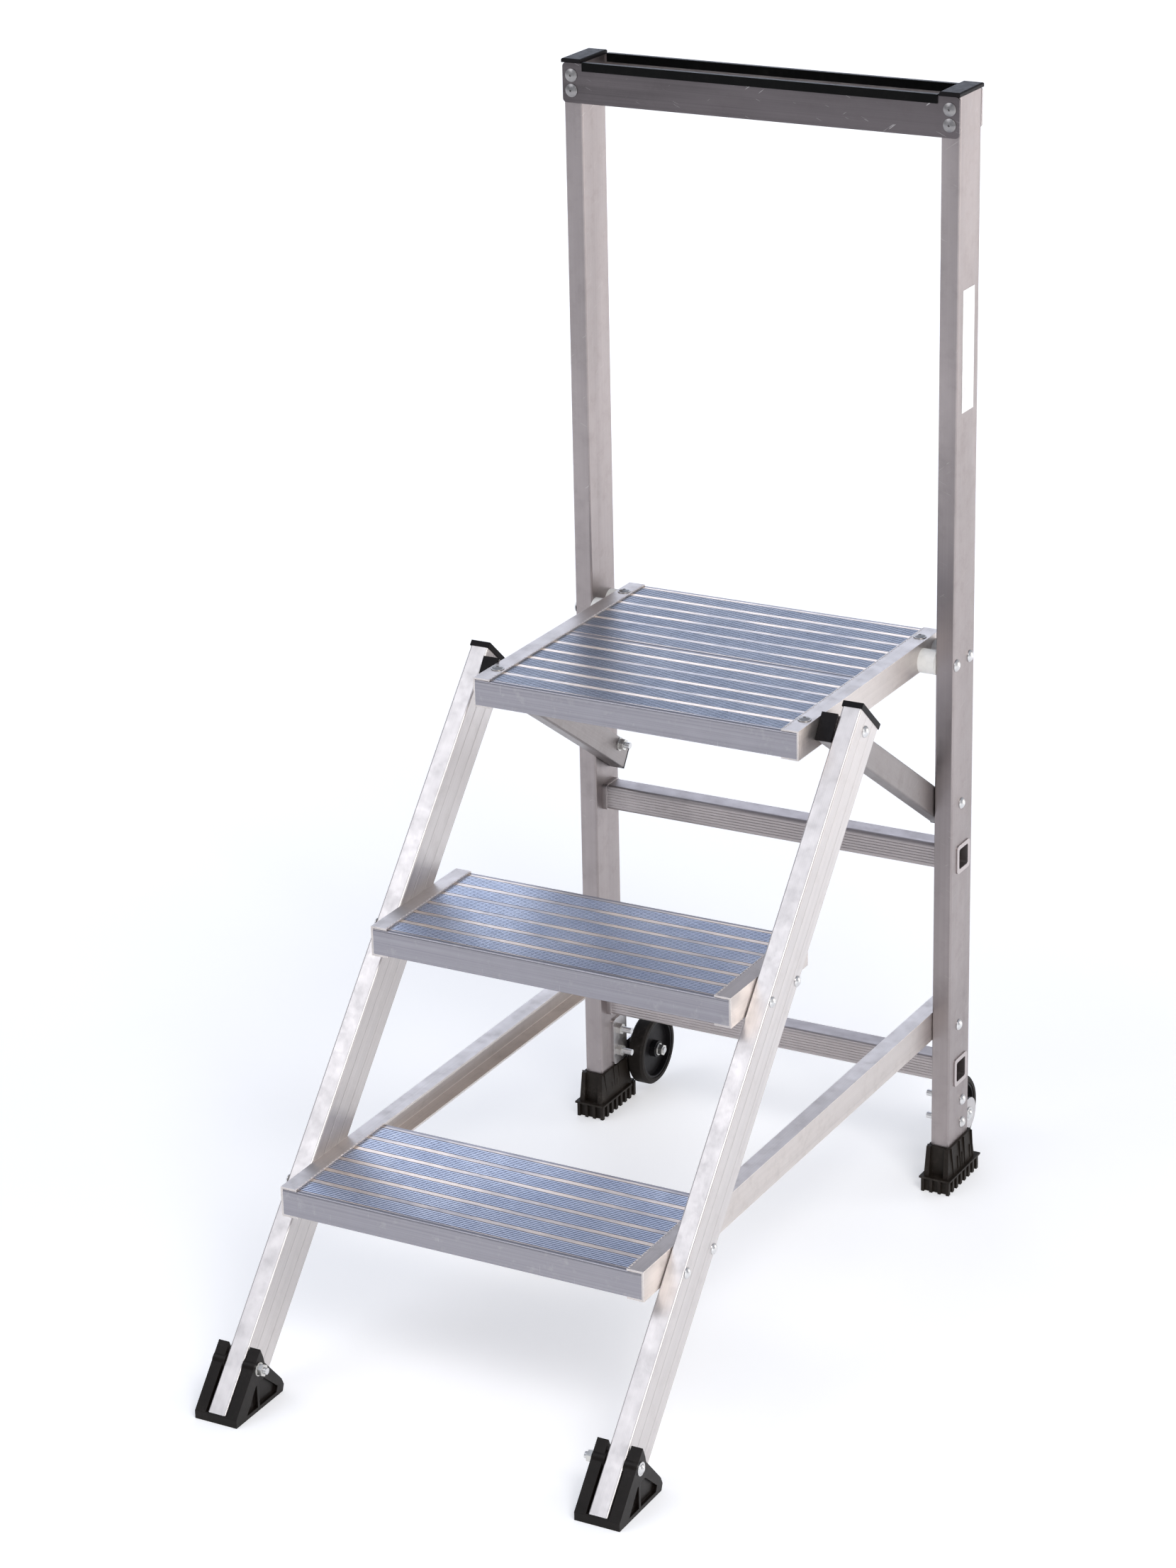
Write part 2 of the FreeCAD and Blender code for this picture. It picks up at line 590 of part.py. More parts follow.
def end_cap(label, width, depth, placement, lip=0.8, skirt=4):
    """Thin plastic cap over a tube's square end: a plate with a short skirt round the tube."""
    body = doc.addObject("PartDesign::Body", label)
    outer = sketch_on(body, "XY_Plane", "outer")
    rectangle(outer, "-(%s / 2 + %s)" % (width, lip), "-%s" % lip, "%s / 2 + %s" % (width, lip),
              "%s + %s" % (depth, lip))
    outer.setExpression("AttachmentOffset.Base.z", "-%s" % skirt)
    pad(body, outer, "dims.plug_wall + %s" % skirt)
    inner = sketch_on(body, "XY_Plane", "inner")
    rectangle(inner, "-%s / 2" % width, "0", "%s / 2" % width, depth)
    pocket(body, inner, "%s" % skirt, both_ways=False)
    keep(body, label, placement)


def make_stile_cap(name, side):
    along = size("stile_length")
    base = Vector(side * RAIL_X, size("stile_line") + along * math.sin(LEAN), along * math.cos(LEAN))
    end_cap("stile_cap_" + name, "dims.rail_width", "dims.rail_depth",
            Placement(base, Rotation(Vector(1, 0, 0), -size("lean"))))


def make_brace_plugs():
    """Flat plugs on both ends of both braces."""
    slab = Part.makeBox(size("brace_width"), size("brace_depth"), size("plug_wall"))
    turn = Rotation(Vector(1, 0, 0), math.degrees(BRACE_TURN))
    plugs = []
    for side in (-1, 1):
        corner_x = side * BRACE_X - size("brace_width") / 2
        for along in (-size("brace_low_end") - size("plug_wall"), BRACE_SPAN + size("brace_high_end")):
            corner = brace_point(along, size("brace_bolt_edge") - size("brace_depth"))
            plugs.append(placed(slab, corner_x, corner[0], corner[1], turn))
    set_of("brace_plugs", plugs)


def make_channel_caps():
    """Plastic plates over the rear ends of the lower channels."""
    plate = Part.makeBox(size("channel_flange"), 2, size("channel_height"))
    corners = (-size("step_half"), size("step_half") - size("channel_flange"))
    level = step_level(1) - size("channel_height")
    set_of("channel_caps", [placed(plate, x, UPRIGHT_REAR, level) for x in corners])


# ---------------------------------------------------------------- feet

# Side view of a front foot and of the two pockets in its cheek, from its front bottom corner.
SHOE_OUTLINE = (("0", "0"), ("97", "0"), ("100", "8"), ("96", "17"), ("63", "54"), ("61", "62"),
                ("56", "74"), ("0", "10"))
SHOE_FRONT_POCKET = (("22", "5"), ("45", "5"), ("45", "33"), ("43", "33"))
SHOE_REAR_POCKET = (("49", "5"), ("84", "5"), ("87", "12"), ("60", "36"), ("49", "36"))


def make_front_foot(name, side):
    """Front foot: a floor under the stile's level end and two pocketed cheeks beside it."""
    body = doc.addObject("PartDesign::Body", "front_foot_" + name)
    outline = sketch_on(body, "YZ_Plane", "outline")
    polygon(outline, SHOE_OUTLINE)
    pad(body, outline, "dims.shoe_width", both_ways=True)
    slot = sketch_on(body, "YZ_Plane", "slot")
    rectangle(slot, "-1", "dims.stile_foot", "101", "80")
    pocket(body, slot, "dims.shoe_slot")
    for face in (-1, 1):
        recess = sketch_on(body, "YZ_Plane", "recess")
        polygon(recess, SHOE_FRONT_POCKET)
        polygon(recess, SHOE_REAR_POCKET)
        recess.setExpression("AttachmentOffset.Base.z", "%d * dims.shoe_width / 2" % face)
        pocket(body, recess, "dims.shoe_recess", both_ways=False, back=face < 0)
        boss = sketch_on(body, "YZ_Plane", "boss")
        circle(boss, "dims.shoe_bolt_y", "dims.shoe_bolt_z", "dims.shoe_boss")
        boss.setExpression("AttachmentOffset.Base.z", "%d * dims.rail_width / 2" % face)
        pad(body, boss, "(dims.shoe_width - dims.rail_width) / 2", back=face < 0)
    hole = sketch_on(body, "YZ_Plane", "bolt_hole")
    circle(hole, "dims.shoe_bolt_y", "dims.shoe_bolt_z", "dims.large_bolt / 2 + dims.clearance")
    pocket(body, hole)
    keep(body, "front_foot_" + name, Placement(Vector(side * RAIL_X, size("shoe_front"), 0), Rotation()))


# Ribs on the sides of a rear foot, from its front: slanted ones at their upper and lower ends, and
# short upright ones.
BOOT_SLANTED_RIBS = (("12", "20"), ("37", "42"), ("50", "55"), ("73", "78"))
BOOT_SHORT_RIBS = ("33", "46", "69.5")


def boot_socket(body):
    """The tapered block on a rear foot's skirt, open in front between two corner posts."""
    sections = []
    for height, reach, front, rear in (("dims.boot_skirt", "16.5", "2.5", "84"),
                                       ("dims.boot_height", "15", "7", "76.5")):
        section = sketch_on(body, "XY_Plane", "socket")
        rectangle(section, "-" + reach, front, reach, rear)
        section.setExpression("AttachmentOffset.Base.z", height)
        sections.append(section)
    loft = body.newObject("PartDesign::AdditiveLoft", "socket")
    loft.Profile = sections[0]
    loft.Sections = [sections[1]]
    loft.Ruled = True
    body.Tip = loft
    recess = sketch_on(body, "XY_Plane", "front_recess")
    rectangle(recess, "-9.5", "-3", "9.5", "10")
    recess.setExpression("AttachmentOffset.Base.z", "dims.boot_skirt")
    pocket(body, recess, "dims.boot_height", both_ways=False, back=True)
    flare = sketch_on(body, "XY_Plane", "flare")
    rectangle(flare, "-13", "74", "13", "78.5")
    flare.setExpression("AttachmentOffset.Base.z", "dims.boot_height - 2.5")
    pad(body, flare, "2.5")


def boot_side_ribs(body, side):
    """Slanted and short ribs on both sides of a rear foot, lower ones towards the wheel."""
    skirt, height = "dims.boot_skirt", "dims.boot_height"
    for foot_side in (-1, 1):
        ribs = sketch_on(body, "YZ_Plane", "side_ribs")
        for upper, lower in BOOT_SLANTED_RIBS:
            polygon(ribs, ((lower, skirt), (lower + " + 1.6", skirt), (upper + " + 1.6", height),
                           (upper, height)))
        for near in BOOT_SHORT_RIBS:
            rectangle(ribs, near, skirt + " + 4", near + " + 1.8", skirt + " + 21")
        ribs.setExpression("AttachmentOffset.Base.z", "%d * 14" % foot_side)
        pad(body, ribs, "3.3" if foot_side == side else "2.2", back=foot_side < 0)


def make_rear_foot(name, side):
    """Rear foot: a tapered, ribbed socket round the upright's end on a skirt with upright ridges."""
    body = doc.addObject("PartDesign::Body", "rear_foot_" + name)
    half, long = "dims.boot_width / 2", "dims.boot_length"
    ridge, wide = "dims.boot_ridge", "dims.boot_ridge_width"
    skirt = sketch_on(body, "XY_Plane", "skirt")
    rectangle(skirt, "-%s + %s" % (half, ridge), ridge, "%s - %s" % (half, ridge), "%s - %s" % (long, ridge))
    pad(body, skirt, "dims.boot_skirt")
    for outer, inner in (("-" + half, "-%s + %s" % (half, ridge)), ("%s - %s" % (half, ridge), half)):
        side_ridge = sketch_on(body, "XY_Plane", "side_ridge")
        rectangle(side_ridge, outer, "0", inner, wide)
        raised = pad(body, side_ridge, "dims.boot_skirt")
        pattern(body, raised, side_ridge, "V_Axis", "(%s - %s) / 7" % (long, wide), "8")
    for near, far in (("0", ridge), ("%s - %s" % (long, ridge), long)):
        end_ridge = sketch_on(body, "XY_Plane", "end_ridge")
        rectangle(end_ridge, "-" + half, near, "-%s + 4" % half, far)
        raised = pad(body, end_ridge, "dims.boot_skirt")
        pattern(body, raised, end_ridge, "H_Axis", "(dims.boot_width - 4) / 3", "4")
    boot_socket(body)
    boot_side_ribs(body, side)
    lip = sketch_on(body, "XY_Plane", "lip")
    edge, behind, notch = "%s + 2" % half, "%s + 2" % long, "%s - 13" % long
    corners = (("-(%s)" % edge, "-2"), (edge, "-2"), (edge, behind), ("-16", behind), ("-16", notch),
               ("-(%s)" % edge, notch))
    outward = "" if side > 0 else "-"
    polygon(lip, [("%s(%s)" % (outward, across), along) for across, along in corners])
    lip.setExpression("AttachmentOffset.Base.z", "dims.boot_skirt - 1.5")
    pad(body, lip, "2.5")
    socket = sketch_on(body, "XY_Plane", "tube_socket")
    start = "dims.upright_front - dims.boot_front"
    rectangle(socket, "-dims.rail_width / 2", start, "dims.rail_width / 2", start + " + dims.rail_depth")
    socket.setExpression("AttachmentOffset.Base.z", "dims.upright_foot")
    pocket(body, socket, "dims.boot_height", both_ways=False, back=True)
    keep(body, "rear_foot_" + name, Placement(Vector(side * RAIL_X, size("boot_front"), 0), Rotation()))


# ---------------------------------------------------------------- transport wheels

def make_wheel_bracket(name, side):
    """Folded strip: bolted inside the upright, round its rear face, then a tab for the axle."""
    body = doc.addObject("PartDesign::Body", "wheel_bracket_" + name)
    plan = sketch_on(body, "XY_Plane", "plan")
    face, wall, tab = "dims.step_half", "dims.bracket_wall", "dims.bracket_tab"
    start = "dims.bracket_bolt_y - dims.bracket_front"
    rear = "(dims.upright_front + dims.rail_depth)"
    end = "dims.wheel_y + dims.bracket_tab_round"
    bend = "%s + %s" % (rear, wall)
    steps = ((face, start), (face, rear), (tab, rear), (tab, end), ("%s - %s" % (tab, wall), end),
             ("%s - %s" % (tab, wall), bend), ("%s - %s" % (face, wall), bend),
             ("%s - %s" % (face, wall), start))
    sign = "" if side > 0 else "-"
    polygon(plan, [("%s(%s)" % (sign, across), along) for across, along in steps])
    low = "dims.wheel_z - dims.bracket_tab_round"
    plan.setExpression("AttachmentOffset.Base.z", low)
    pad(body, plan, "dims.bracket_bolt_high + 16 - (%s)" % low)

    trim = sketch_on(body, "YZ_Plane", "trim")
    tab_top, beyond = "dims.wheel_z + dims.bracket_tab_round", end + " + 1"
    above = "dims.bracket_bolt_high + 20"
    fold = rear + " + 8"
    polygon(trim, ((fold, tab_top), (beyond, tab_top), (beyond, above), (fold, above)))
    before, below, over_foot = start + " - 1", low + " - 1", "dims.boot_height + 1.5"
    polygon(trim, ((before, below), (fold + " + 6", below), (fold, over_foot), (before, over_foot)))
    cut = pocket(body, trim)
    tab_end = size("wheel_y") + size("bracket_tab_round")

    def tab_corner(edge):
        at_end = abs(edge.Vertexes[0].Point.y - tab_end) < 1e-6
        return runs_along(edge, Vector(1, 0, 0)) and at_end

    rounded = round_edges(body, cut, "dims.bracket_tab_round - 0.05", tab_corner)
    plate_start = size("bracket_bolt_y") - size("bracket_front")

    def plate_corner(edge):
        at_start = abs(edge.Vertexes[0].Point.y - plate_start) < 1e-6
        return runs_along(edge, Vector(1, 0, 0)) and at_start

    body.Tip = round_edges(body, rounded, "6", plate_corner)
    drill(body, BRACKET_BOLTS + [(size("wheel_y"), size("wheel_z"))], "large_bolt")
    keep(body, "wheel_bracket_" + name)


def wheel_piece(label, side, outline):
    """A body of revolution about the wheel's axle, its outline given as radius and width."""
    body = doc.addObject("PartDesign::Body", label)
    section = sketch_on(body, "XY_Plane", "section")
    polygon(section, outline)
    turned = body.newObject("PartDesign::Revolution", "turned")
    turned.Profile = section
    turned.ReferenceAxis = (section, ["H_Axis"])
    turned.Angle = 360.0
    middle = side * (size("wheel_outer") - size("wheel_width") / 2)
    keep(body, label, Placement(Vector(middle, size("wheel_y"), size("wheel_z")), Rotation()))


def make_wheel(name, side):
    """Transport wheel: a crowned tyre on a spoked-disc hub."""
    wide, tyre = "dims.wheel_width / 2", "dims.wheel_diameter / 2"
    rim = tyre + " - 8"
    wheel_piece("wheel_tyre_" + name, side, (
        ("-" + wide, rim), (wide, rim), (wide, tyre + " - 3"), (wide + " - 3", tyre),
        ("-%s + 3" % wide, tyre), ("-" + wide, tyre + " - 3")))
    bore, boss = "dims.large_bolt / 2 + dims.clearance", "11"
    lip, disc = rim + " - 3", "2.5"
    wheel_piece("wheel_hub_" + name, side, (
        ("-" + wide, bore), (wide, bore), (wide, boss), (disc, boss), (disc, lip), (wide + " - 1", lip),
        (wide + " - 1", rim), ("-%s + 1" % wide, rim), ("-%s + 1" % wide, lip), ("-" + disc, lip),
        ("-" + disc, boss), ("-" + wide, boss)))


# ---------------------------------------------------------------- fasteners

def dome_head(radius, height):
    """A domed head on the plane z = 0, with a short upright edge."""
    rise = height - 0.8
    ball = (radius ** 2 + rise ** 2) / (2 * rise)
    return Part.makeSphere(ball, Vector(0, 0, height - ball)).common(Part.makeCylinder(radius, height))


def dome_bolt(thread, reach, radius, height, flange=0.0):
    """Bolt along Z: domed head above zero, shank below it, and a thin flange if asked."""
    bolt = dome_head(radius, height).fuse(Part.makeCylinder(size(thread) / 2, reach, Vector(0, 0, -reach)))
    if flange:
        bolt = bolt.fuse(Part.makeCylinder(flange, 1.2))
    return bolt


def hex_nut(thread, flats, thickness, washer=0.0):
    """Nut along Z that starts at zero, on a washer if asked, with a bore that clears the bolt."""
    corners = [Vector(flats / math.sqrt(3), 0, 0)]
    for i in range(6):
        angle = math.radians(60 * (i + 1))
        corners.append(Vector(math.cos(angle), math.sin(angle), 0) * (flats / math.sqrt(3)))
    nut = Part.Face(Part.makePolygon(corners)).extrude(Vector(0, 0, thickness))
    if washer:
        nut.translate(Vector(0, 0, 1.5))
        nut = nut.fuse(Part.makeCylinder(washer, 1.5)).removeSplitter()
    return nut.cut(Part.makeCylinder(size(thread) / 2 + 0.05, thickness + 1.5))


def bolt_set(label, bolt, nut_label, nut, places, head_x, nut_x):
    """One bolt and one nut per place and side; heads outside at head_x, nuts inside at nut_x."""
    bolts, nuts = [], []
    for name, side in SIDES:
        for y, z in places:
            bolts.append(placed(bolt, side * head_x, y, z, facing(side)))
            nuts.append(placed(nut, side * nut_x, y, z, facing(-side)))
    set_of(label, bolts)
    set_of(nut_label, nuts)


def make_fasteners():
    outside = size("frame_half")
    inside = size("step_half")
    web, deck = inside - size("channel_wall"), size("deck_half") - size("deck_wall")
    steps = step_bolt_places(1) + step_bolt_places(2)
    bolt_set("step_bolts", dome_bolt("small_bolt", outside - web + 7, 6.5, 4), "step_nuts",
             hex_nut("small_bolt", 10, 5), steps, outside, web)
    bolt_set("platform_bolts", dome_bolt("large_bolt", outside - deck + 9, 7.5, 4.5), "platform_nuts",
             hex_nut("large_bolt", 13, 6.5), DECK_BOLTS, outside, deck)
    bolt_set("stile_top_bolts", dome_bolt("large_bolt", outside - deck + 9, 7, 4.5), "stile_top_nuts",
             hex_nut("large_bolt", 13, 6.5), [STILE_TOP_BOLT], outside, deck)
    brace_face = BRACE_X - size("brace_width") / 2
    bolt_set("brace_bolts", dome_bolt("large_bolt", outside - brace_face + 15, 7, 4.5), "brace_nuts",
             hex_nut("large_bolt", 13, 6.5, washer=8.5), [BRACE_LOW_BOLT], outside, brace_face)
    bolt_set("bar_bolts", dome_bolt("large_bolt", outside - web + 9, 7, 4.5), "bar_nuts",
             hex_nut("large_bolt", 13, 6.5), [BAR_BOLT], outside, web)
    plate = inside - size("bracket_wall")
    bolt_set("bracket_bolts", dome_bolt("large_bolt", outside - plate + 20, 7, 4.5), "bracket_nuts",
             hex_nut("large_bolt", 13, 6.5), BRACKET_BOLTS, outside, plate)
    wheel_inner = size("wheel_outer") - size("wheel_width")
    axle = [(size("wheel_y"), size("wheel_z"))]
    bolt_set("axle_bolts", dome_bolt("large_bolt", size("bracket_tab") - wheel_inner + 10, 7, 5, flange=9),
             "axle_nuts", hex_nut("large_bolt", 13, 6.5, washer=8), axle, size("bracket_tab"),
             wheel_inner - 0.3)
    foot_face = RAIL_X + size("shoe_width") / 2
    foot_inner = RAIL_X - size("shoe_width") / 2
    bolt_set("front_foot_bolts", dome_bolt("large_bolt", size("shoe_width") + 12, 6.5, 4.5, flange=8),
             "front_foot_nuts", hex_nut("large_bolt", 13, 6.5, washer=8), [SHOE_BOLT], foot_face, foot_inner)

    collar = Part.makeCylinder(8, size("bracket_tab") - size("bracket_wall") - size("wheel_outer") - 0.3)
    collar = collar.cut(Part.makeCylinder(size("large_bolt") / 2 + 0.05, 10))
    start = size("bracket_tab") - size("bracket_wall")
    set_of("axle_spacers", [placed(collar, side * start, size("wheel_y"), size("wheel_z"), facing(-side))
                            for name, side in SIDES])
    gap = size("step_half") - size("deck_half")
    ring = Part.makeCylinder(size("spacer_diameter") / 2, gap)
    ring = ring.cut(Part.makeCylinder(size("large_bolt") / 2 + size("clearance"), gap))
    set_of("platform_spacers", [placed(ring, side * size("deck_half"), y, z, facing(side))
                                for name, side in SIDES for y, z in DECK_BOLTS])
    hexagon = [Vector(math.cos(math.radians(60 * i)), math.sin(math.radians(60 * i)), 0) for i in range(7)]
    socket = Part.Face(Part.makePolygon([corner * 2.2 for corner in hexagon])).extrude(Vector(0, 0, 3))
    socket.translate(Vector(0, 0, 1.6))
    depth = size("deck_wall")
    screw = dome_head(7, 3.2).fuse(Part.makeCylinder(8, 1))
    screw = screw.fuse(Part.makeCylinder(2.2, depth, Vector(0, 0, -depth)))
    screw = screw.cut(socket)
    flange_middle = size("deck_half") - size("deck_flange") / 2
    set_of("platform_screws", [placed(screw, side * flange_middle, y, DECK_LEVEL)
                               for name, side in SIDES for y in DECK_SCREWS])
    rivet = dome_head(8, 3).fuse(Part.makeCylinder(2.5, 7, Vector(0, 0, -7)))
    rivet = rivet.cut(Part.makeCylinder(1.3, 4, Vector(0, 0, 1)))
    levels = [size("upright_top") - size("plate_height") * share for share in (0.31, 0.69)]
    faces = ((size("upright_front") - size("plate_wall"), -1), (UPRIGHT_REAR + size("plate_wall"), 1))
    rivets = []
    for name, side in SIDES:
        for y, out in faces:
            turn = Rotation(Vector(0, 0, 1), Vector(0, out, 0))
            rivets += [placed(rivet, side * RAIL_X, y, z, turn) for z in levels]
    set_of("handrail_rivets", rivets)


def make_label():
    """Blank label on the outside of the right upright."""
    label = doc.addObject("Part::Box", "label_plate")
    label.Length = 0.3
    label.setExpression("Width", "dims.label_width")
    label.setExpression("Height", "dims.label_height")
    corner = Vector(size("frame_half"), UPRIGHT_MIDDLE - size("label_width") / 2,
                    size("label_level") - size("label_height") / 2)
    keep(label, "label_plate", Placement(corner, Rotation()))


# ---------------------------------------------------------------- the whole ladder

for name, side in SIDES:
    make_upright(name, side)
    make_stile(name, side)
    make_brace(name, side)
    make_upright_cap(name, side)
    make_stile_cap(name, side)
    make_front_foot(name, side)
    make_rear_foot(name, side)
    make_wheel_bracket(name, side)
    make_wheel(name, side)
make_rung("rung_lower", size("rung_low"))
make_rung("rung_upper", size("rung_high"))
make_treads_and_channels()
make_handrail()
make_brace_plugs()
make_channel_caps()
make_fasteners()
make_label()
doc.recompute()

failed = [item.Label for item in doc.Objects if "Invalid" in item.State or "Error" in item.State]
if failed:
    raise RuntimeError("objects left in error: " + ", ".join(failed))
for item in SUB_PARTS:
    if item.Shape.isNull() or not item.Shape.isValid():
        raise RuntimeError("no valid shape: " + item.Label)
    if min(solid.Volume for solid in item.Shape.Solids) <= 0:
        raise RuntimeError("solid turned inside out: " + item.Label)
for item in SUB_PARTS:
    item.Shape.exportStep("parts/%s.step" % item.Label)
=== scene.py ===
import math

import bpy
from mathutils import Matrix, Vector


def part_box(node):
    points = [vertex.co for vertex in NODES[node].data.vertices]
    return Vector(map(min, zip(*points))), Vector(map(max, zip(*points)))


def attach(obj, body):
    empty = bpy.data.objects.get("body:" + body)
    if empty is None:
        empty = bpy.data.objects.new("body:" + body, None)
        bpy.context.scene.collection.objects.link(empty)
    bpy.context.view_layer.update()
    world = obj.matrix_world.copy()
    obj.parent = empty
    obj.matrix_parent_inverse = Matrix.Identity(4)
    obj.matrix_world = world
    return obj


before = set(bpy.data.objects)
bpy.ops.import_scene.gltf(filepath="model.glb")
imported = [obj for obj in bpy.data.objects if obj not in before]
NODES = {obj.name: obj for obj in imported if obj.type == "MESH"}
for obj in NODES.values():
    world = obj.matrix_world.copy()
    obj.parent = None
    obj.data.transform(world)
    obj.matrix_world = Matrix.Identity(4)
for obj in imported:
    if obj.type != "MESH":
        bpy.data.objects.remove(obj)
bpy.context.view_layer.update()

# Looks for the aluminium step ladder. Metres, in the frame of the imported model: +Z up, a person
# climbing it faces +Y, and the origin is on the floor in the middle of the bounding box.

LEAN = math.radians(41.6)        # stiles, from vertical
BRACE_TURN = math.radians(55.6)  # braces, from vertical


# ---------------------------------------------------------------- node materials

class Finish:
    """A node material under construction, with short calls for the nodes that the finishes share."""

    def __init__(self, name, **sockets):
        self.material = bpy.data.materials.new(name)
        self.material.use_nodes = True
        self.tree = self.material.node_tree
        self.shader = self.tree.nodes["Principled BSDF"]
        self.coordinates = self.node("ShaderNodeTexCoord").outputs["Object"]
        for socket, value in sockets.items():
            self.shader.inputs[socket.replace("_", " ")].default_value = value

    def node(self, kind, **settings):
        made = self.tree.nodes.new(kind)
        for name, value in settings.items():
            setattr(made, name, value)
        return made

    def feed(self, socket, value):
        """Put a link or a plain value on a socket."""
        if isinstance(value, bpy.types.NodeSocket):
            self.tree.links.new(value, socket)
        else:
            socket.default_value = value

    def turned(self, rotation):
        """Object coordinates turned about the origin."""
        mapping = self.node("ShaderNodeMapping")
        self.feed(mapping.inputs["Vector"], self.coordinates)
        mapping.inputs["Rotation"].default_value = rotation
        return mapping.outputs["Vector"]

    def stretched(self, vector, scale):
        """A vector scaled axis by axis, which draws a noise out along the small scale."""
        mapping = self.node("ShaderNodeMapping")
        self.feed(mapping.inputs["Vector"], vector)
        mapping.inputs["Scale"].default_value = scale
        return mapping.outputs["Vector"]

    def noise(self, vector, scale, detail=2.0, roughness=0.5):
        """Noise of about 0.3 to 0.7."""
        made = self.node("ShaderNodeTexNoise")
        self.feed(made.inputs["Vector"], vector)
        made.inputs["Scale"].default_value = scale
        made.inputs["Detail"].default_value = detail
        made.inputs["Roughness"].default_value = roughness
        return made.outputs["Fac"]

    def band(self, value, low, high, start=0.0, end=1.0):
        """Map a value from low..high to start..end, held at both ends."""
        made = self.node("ShaderNodeMapRange")
        self.feed(made.inputs["Value"], value)
        made.inputs["From Min"].default_value = low
        made.inputs["From Max"].default_value = high
        made.inputs["To Min"].default_value = start
        made.inputs["To Max"].default_value = end
        return made.outputs["Result"]

    def calc(self, operation, first, second=0.0):
        """One arithmetic step on sockets or plain values."""
        made = self.node("ShaderNodeMath", operation=operation)
        self.feed(made.inputs[0], first)
        self.feed(made.inputs[1], second)
        return made.outputs[0]

    def mix(self, share, first, second):
        """A colour between two, with this share of the second."""
        made = self.node("ShaderNodeMix", data_type="RGBA")
        self.feed(made.inputs[0], share)
        self.feed(made.inputs[6], first)
        self.feed(made.inputs[7], second)
        return made.outputs[2]

    def split(self, vector):
        """The X, Y and Z sockets of a vector."""
        made = self.node("ShaderNodeSeparateXYZ")
        self.feed(made.inputs[0], vector)
        return made.outputs

    def at_edges(self, radius):
        """One along edges, as wide as this radius, zero on the flats."""
        rounded = self.node("ShaderNodeBevel", samples=4)
        rounded.inputs["Radius"].default_value = radius
        turned = self.node("ShaderNodeVectorMath", operation="DOT_PRODUCT")
        self.feed(turned.inputs[0], rounded.outputs[0])
        self.feed(turned.inputs[1], self.node("ShaderNodeNewGeometry").outputs["Normal"])
        return self.band(turned.outputs["Value"], 0.86, 0.98, 1.0, 0.0)

    def relief(self, height, distance, strength=1.0, edge=0.0005):
        """Bump from a height on edges that are softly rounded."""
        rounded = self.node("ShaderNodeBevel", samples=4)
        rounded.inputs["Radius"].default_value = edge
        bump = self.node("ShaderNodeBump")
        bump.inputs["Strength"].default_value = strength
        bump.inputs["Distance"].default_value = distance
        self.feed(bump.inputs["Height"], height)
        self.feed(bump.inputs["Normal"], rounded.outputs[0])
        self.feed(self.shader.inputs["Normal"], bump.outputs[0])


def shade(colour, factor):
    """A colour made lighter or darker, as RGBA."""
    return tuple(channel * factor for channel in colour[:3]) + (1.0,)


SCRATCH = (0.92, 0.90, 0.88, 1)   # bare metal in a scratch
# Radius of the painted bright highlight along the edges.
EDGE_HIGHLIGHT_RADIUS = 0.0012
SEAM_WIDTH = 0.0009


